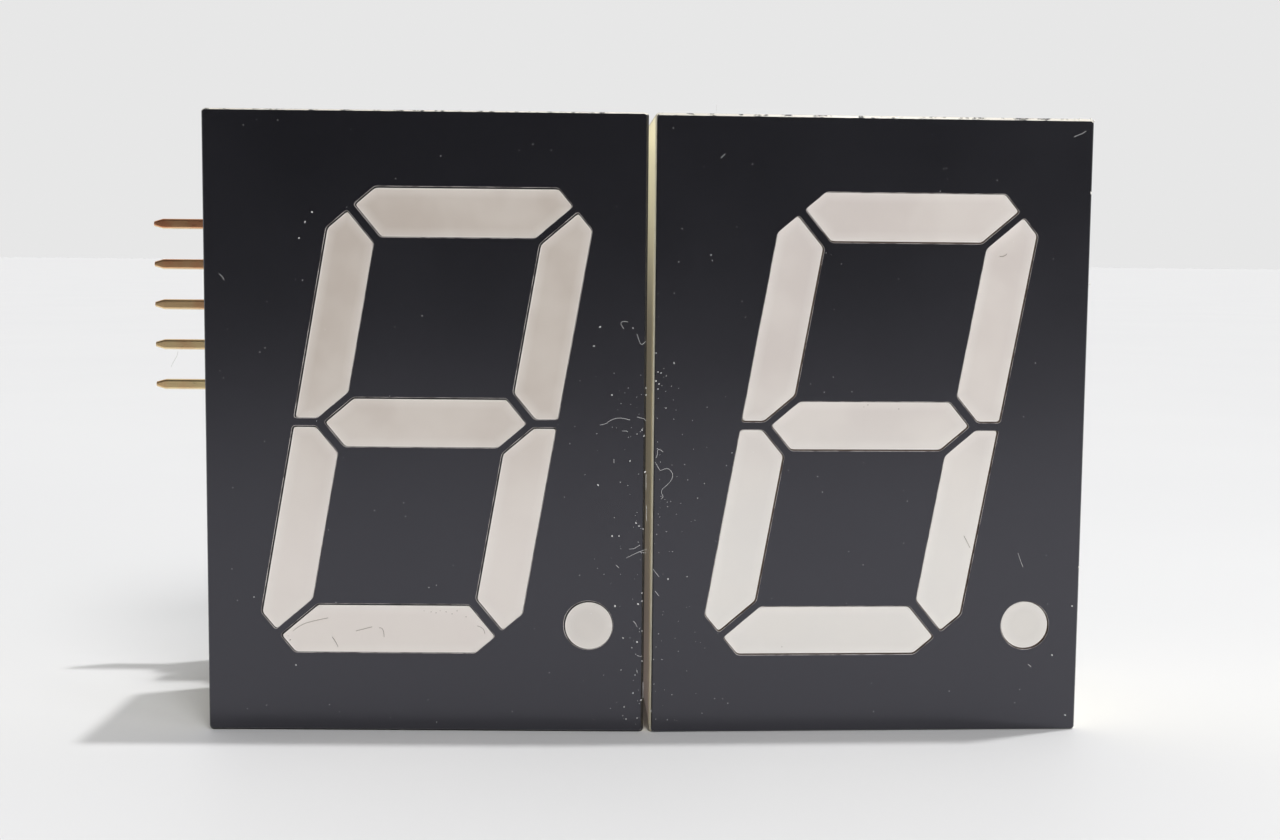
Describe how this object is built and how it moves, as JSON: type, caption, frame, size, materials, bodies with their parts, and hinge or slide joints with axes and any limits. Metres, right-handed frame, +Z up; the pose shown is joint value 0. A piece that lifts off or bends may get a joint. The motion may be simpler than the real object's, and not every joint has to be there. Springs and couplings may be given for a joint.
{
  "type": "seven segment display module",
  "caption": "Upright pair of slanted seven segment LED digits with decimal points, in moulded housings soldered to a board with a right-angle pin header.",
  "frame": {"origin": "middle of the foot of the whole module's box, header pins included", "axes": "+X to the reader's right along the digits, -Y the way the digits face, +Z up"},
  "size_m": [0.0554, 0.0178, 0.034],
  "materials": {
    "housing_plastic": "cream moulded plastic, satin, a little dulled",
    "face_film": "black satin film, worn pale along its edges",
    "segment_resin": "warm off-white diffusing resin, satin",
    "chip_board": "glass and resin laminate",
    "led_chip": "semiconductor chip",
    "tinned_metal": "tin plate, satin",
    "back_resin": "milky potting resin",
    "solder": "solder, bright satin",
    "driver_plastic": "dark moulded package",
    "gold_plate": "thin gold plate, dull",
    "board": "green solder mask on laminate",
    "header_plastic": "black moulded plastic",
    "resistor_ceramic": "ceramic with a dark coat",
    "capacitor_ceramic": "tan ceramic"
  },
  "bodies": {
    "root": {"left_housing": "housing_plastic", "left_face_film": "face_film", "left_decimal_point": "segment_resin", "left_chip_board": "chip_board", "left_led_chips": "led_chip", "left_pins": "tinned_metal", "left_back_resin": "back_resin", "left_pin_solder": "solder", "left_driver_body": "driver_plastic", "left_driver_leads": "tinned_metal", "right_housing": "housing_plastic", "right_face_film": "face_film", "right_decimal_point": "segment_resin", "right_chip_board": "chip_board", "right_led_chips": "led_chip", "right_pins": "tinned_metal", "right_back_resin": "back_resin", "right_pin_solder": "solder", "right_driver_body": "driver_plastic", "right_driver_leads": "tinned_metal", "left_segment_a": "segment_resin", "left_segment_b": "segment_resin", "left_segment_c": "segment_resin", "left_segment_d": "segment_resin", "left_segment_e": "segment_resin", "left_segment_f": "segment_resin", "left_segment_g": "segment_resin", "right_segment_a": "segment_resin", "right_segment_b": "segment_resin", "right_segment_c": "segment_resin", "right_segment_d": "segment_resin", "right_segment_e": "segment_resin", "right_segment_f": "segment_resin", "right_segment_g": "segment_resin", "header_pin_1": "gold_plate", "header_pin_2": "gold_plate", "header_pin_3": "gold_plate", "header_pin_4": "gold_plate", "header_pin_5": "gold_plate", "carrier_board": "board", "header_strip": "header_plastic", "header_solder": "solder", "resistor_bodies": "resistor_ceramic", "resistor_ends": "tinned_metal", "capacitor_bodies": "capacitor_ceramic", "capacitor_ends": "tinned_metal"}
  },
  "joints": []
}
